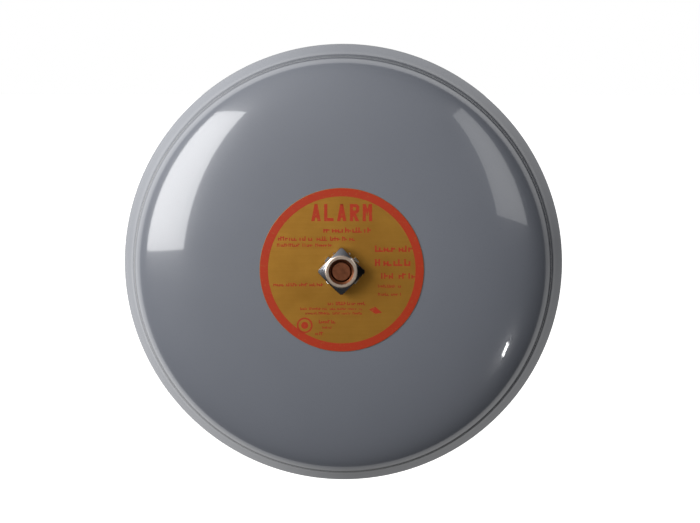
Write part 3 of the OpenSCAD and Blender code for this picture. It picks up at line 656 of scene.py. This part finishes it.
def dress_all():
    """Every CAD node that no piece replaces, with its material and its edge rounding in millimetres."""
    zinc = plated("zinc", (0.70, 0.70, 0.68), 0.28)
    steel = plated("turned_steel", (0.56, 0.55, 0.53), 0.32, streak=(1, 1, 6))
    yellow = plated("passivated_steel", (0.66, 0.60, 0.40), 0.34)
    brass = plated("brass_parts", (0.74, 0.53, 0.24), 0.28)
    bronze = plated("spring_bronze", (0.62, 0.36, 0.17), 0.26, streak=(0.1, 1, 1))
    black = moulded("black_phenolic", (0.022, 0.020, 0.018), 0.42)
    brown = moulded("brown_laminate", (0.11, 0.045, 0.018), 0.48)
    nylon = moulded("nylon", (0.66, 0.62, 0.50), 0.5, speck=0.08)
    rubber = moulded("rubber", (0.018, 0.018, 0.018), 0.7)
    looks = {
        "lock_washer": (zinc, 0.12), "post_rivets": (zinc, 0.1), "block_mount_screws": (zinc, 0.12),
        "frame_screws": (zinc, 0.12), "guide_screws": (zinc, 0.12), "frame_pillars": (zinc, 0.2),
        "contact_block_screw": (zinc, 0.12), "contact_bracket_screw": (zinc, 0.1),
        "leaf_clamp_screws": (zinc, 0.08), "capacitor_clip_screw": (zinc, 0.1),
        "fibre_washer": (moulded("vulcanised_fibre", (0.17, 0.032, 0.018), 0.6), 0.1),
        "gong_post": (steel, 0.3), "hammer_head": (steel, 0.1), "striker_rod": (steel, 0.2),
        "plunger": (steel, 0.25), "pole_bush": (steel, 0.15), "retaining_clip": (steel, 0.08),
        "back_plate": (enamel("plate_enamel", (0.105, 0.122, 0.140), 0.34), 0.3),
        "wire_grommet": (rubber, 0.3), "bumper_washer": (rubber, 0.3),
        "terminal_block": (black, 0.25), "drive_collar": (brown, 0.2), "contact_block": (brown, 0.25),
        "terminal_clamps": (brass, 0.12), "terminal_screws": (brass, 0.12), "earth_washer": (brass, 0.08),
        "contact_bracket": (brass, 0.1), "contact_screw": (brass, 0.1), "contact_lock_nut": (brass, 0.1),
        "leaf_clamp": (brass, 0.15), "guide_tube": (brass, 0.05),
        "earth_screw": (plated("green_screw", (0.06, 0.36, 0.14), 0.35), 0.12),
        "magnet_frame": (yellow, 0.25), "guide_bracket": (yellow, 0.2), "capacitor_clip": (yellow, 0.08),
        "coil_bobbin": (nylon, 0.2), "guide_bush": (nylon, 0.15),
        "coil_winding": (plated("enamelled_wire", (0.62, 0.22, 0.08), 0.3), 0.0),
        "coil_wrap": (moulded("cloth_tape", (0.50, 0.37, 0.14), 0.62), 0.0),
        "leaf_tag": (bronze, 0.05), "contact_leaf": (bronze, 0.05),
        "contact_button": (plated("silver", (0.86, 0.85, 0.82), 0.2), 0.08),
        "capacitor": (moulded("capacitor_case", (0.52, 0.16, 0.02), 0.3), 0.6),
        "lead_coil_supply": (moulded("red_pvc", (0.30, 0.012, 0.008), 0.4), 0.0),
        "lead_coil_contact": (moulded("red_pvc_short", (0.30, 0.012, 0.008), 0.4), 0.0),
        "lead_leaf_supply": (moulded("black_pvc", (0.02, 0.02, 0.02), 0.4), 0.0),
        "lead_cap_contact": (moulded("white_pvc", (0.62, 0.60, 0.54), 0.4), 0.0),
        "lead_cap_leaf": (moulded("white_pvc_long", (0.62, 0.60, 0.54), 0.4), 0.0),
    }
    for node, (material, bevel) in looks.items():
        dress(node, material, bevel)


# ---------------------------------------------------------------- studio


CAMERA_AZIMUTH = math.radians(1.0)
CAMERA_ELEVATION = math.radians(5.5)
CAMERA_DISTANCE = 1.2
CAMERA_TARGET = Vector((0.0034, -0.029, 0.0020))
FRAME_WIDTH = 0.3219    # width of the picture at the target's distance


def build_camera():
    """The camera, a little above the bell's axis and almost straight in front of it."""
    data = bpy.data.cameras.new("camera")
    data.sensor_width = 36
    data.lens = data.sensor_width * CAMERA_DISTANCE / FRAME_WIDTH
    camera = bpy.data.objects.new("camera", data)
    back = Vector((
        math.sin(CAMERA_AZIMUTH) * math.cos(CAMERA_ELEVATION),
        -math.cos(CAMERA_AZIMUTH) * math.cos(CAMERA_ELEVATION),
        math.sin(CAMERA_ELEVATION),
    ))
    camera.location = CAMERA_TARGET + back * CAMERA_DISTANCE
    camera.rotation_mode = "QUATERNION"
    camera.rotation_quaternion = (-back).to_track_quat("-Z", "Y")
    bpy.context.scene.collection.objects.link(camera)
    bpy.context.scene.camera = camera


def soft_box(name, centre, across, up, width, height, power, tone=(1, 1, 1)):
    """A rectangular light with the given edges; it shines towards the bell."""
    data = bpy.data.lights.new(name, "AREA")
    data.shape = "RECTANGLE"
    data.size = width
    data.size_y = height
    data.energy = power
    data.color = tone
    centre, across = Vector(centre), Vector(across).normalized()
    back = across.cross(Vector(up)).normalized()
    if back.dot(centre) < 0:
        back.negate()
    axes = Matrix((across, back.cross(across), back)).transposed()
    light = bpy.data.objects.new(name, data)
    light.location = centre
    light.rotation_mode = "QUATERNION"
    light.rotation_quaternion = axes.to_quaternion()
    light.visible_camera = False
    bpy.context.scene.collection.objects.link(light)


def build_lights():
    """A large box at the left, a weaker one at the right, a small lamp low down and a warm card."""
    soft_box(
        "left_box", centre=(-0.641, -0.682, 0.354), across=(0.226, -0.973, -0.045),
        up=(0.06, -0.03, 1), width=0.706, height=0.754, power=12.0,
    )
    soft_box(
        "right_box", centre=(0.60, -0.72, 0.44), across=(0.03, -0.998, 0.04),
        up=(0.12, 0.04, 1), width=0.62, height=0.72, power=2.3,
    )
    soft_box(
        "lamp", centre=(0.60, -0.68, -0.395), across=(0, -1, 0),
        up=(0, 0, 1), width=0.06, height=0.06, power=0.42,
    )
    soft_box(
        "front_card", centre=(0.0, -1.15, -0.13), across=(1, 0, 0),
        up=(0, 0.1, 1), width=0.20, height=0.14, power=0.075, tone=(1.0, 0.93, 0.82),
    )


# Light from the studio as (direction, strength); a glow fades away from its direction
GLOWS = [((-1, -1, 1), 1.05), ((-1, 1, 0), 0.8), ((0, -1, -1), 0.12)]
WALLS = [((-1, 0, 0), 1.75), ((1, 0, 0), 0.75), ((0, 0, 1), 1.7), ((0, 0, -1), 0.85)]
GLOW_POWER = 3.0
WALL_SHARE = 0.3        # the walls' strength for all rays that aren't glossy
WALL_NEAR = (-0.03, 0.07)   # where the pale walls start, by the direction's Y
WALL_FAR = (0.75, 0.5)      # and where they end
FILL_DIRECTION = (0, 1, 0.1)
FILL_STRENGTH = 0.5


def build_world():
    """White for the camera; for everything else a dim studio, with pale walls round the bell."""
    world = bpy.data.worlds.new("studio")
    bpy.context.scene.world = world
    world.use_nodes = True
    tree = world.node_tree
    tree.nodes.clear()
    coords = tree.nodes.new("ShaderNodeTexCoord").outputs["Generated"]

    def feed(value, socket):
        if isinstance(value, bpy.types.NodeSocket):
            tree.links.new(value, socket)
        else:
            socket.default_value = value

    def math_node(operation, a, b=0.0):
        made = tree.nodes.new("ShaderNodeMath")
        made.operation = operation
        feed(a, made.inputs[0])
        feed(b, made.inputs[1])
        return made.outputs[0]

    def facing(direction):
        made = tree.nodes.new("ShaderNodeVectorMath")
        made.operation = "DOT_PRODUCT"
        feed(coords, made.inputs[0])
        made.inputs[1].default_value = Vector(direction).normalized()
        return math_node("MAXIMUM", made.outputs["Value"])

    def step(value, start, end):
        made = tree.nodes.new("ShaderNodeMapRange")
        made.interpolation_type = "SMOOTHSTEP"
        feed(value, made.inputs["Value"])
        made.inputs["From Min"].default_value = start
        made.inputs["From Max"].default_value = end
        return made.outputs["Result"]

    def added(terms):
        total = terms[0]
        for term in terms[1:]:
            total = math_node("ADD", total, term)
        return total

    glow = added([
        math_node("MULTIPLY", math_node("POWER", facing(d), GLOW_POWER), strength) for d, strength in GLOWS
    ])
    wall = added([math_node("MULTIPLY", facing(d), strength) for d, strength in WALLS])
    depth = tree.nodes.new("ShaderNodeSeparateXYZ")
    feed(coords, depth.inputs[0])
    y = depth.outputs["Y"]
    band = math_node("MULTIPLY", step(y, *WALL_NEAR), step(y, *WALL_FAR))
    rays = tree.nodes.new("ShaderNodeLightPath")
    glossy = rays.outputs["Is Glossy Ray"]
    sheen = math_node("ADD", math_node("MULTIPLY", glossy, 1 - WALL_SHARE), WALL_SHARE)
    behind = math_node("MULTIPLY", math_node("POWER", facing(FILL_DIRECTION), 2.0), FILL_STRENGTH)
    fill = math_node("MULTIPLY", behind, math_node("SUBTRACT", 1.0, glossy))
    studio = tree.nodes.new("ShaderNodeBackground")
    feed(
        added([glow, fill, math_node("MULTIPLY", math_node("MULTIPLY", wall, sheen), band)]),
        studio.inputs["Strength"],
    )
    white = tree.nodes.new("ShaderNodeBackground")
    white.inputs["Color"].default_value = (1, 1, 1, 1)
    blend = tree.nodes.new("ShaderNodeMixShader")
    feed(rays.outputs["Is Camera Ray"], blend.inputs[0])
    feed(studio.outputs[0], blend.inputs[1])
    feed(white.outputs[0], blend.inputs[2])
    feed(blend.outputs[0], tree.nodes.new("ShaderNodeOutputWorld").inputs["Surface"])


def build_floor():
    """A pale floor well below the bell, which hangs as if on its wall."""
    size = 30.0
    drop = -0.9
    corners = [(-size, -size, drop), (size, -size, drop), (size, size, drop), (-size, size, drop)]
    mesh = bpy.data.meshes.new("floor")
    mesh.from_pydata(corners, [], [(0, 1, 2, 3)])
    floor = bpy.data.objects.new("floor", mesh)
    bpy.context.scene.collection.objects.link(floor)
    s = Shader("pale_floor", (0.8, 0.8, 0.79), 0.8)
    s.bsdf.inputs["Emission Color"].default_value = (1, 1, 1, 1)
    s.bsdf.inputs["Emission Strength"].default_value = 0.9
    s.color(s.mix(s.noise(2.5, 4), (0.78, 0.78, 0.77), (0.82, 0.82, 0.81)))
    mesh.materials.append(s.material)
    floor.visible_diffuse = False
    floor.visible_glossy = False


bpy.context.scene.view_settings.view_transform = "Standard"
build_camera()
build_world()
build_lights()
build_floor()
build_gong()
build_foil()
build_print()
build_nut()
build_stud()
build_spring()
dress_all()
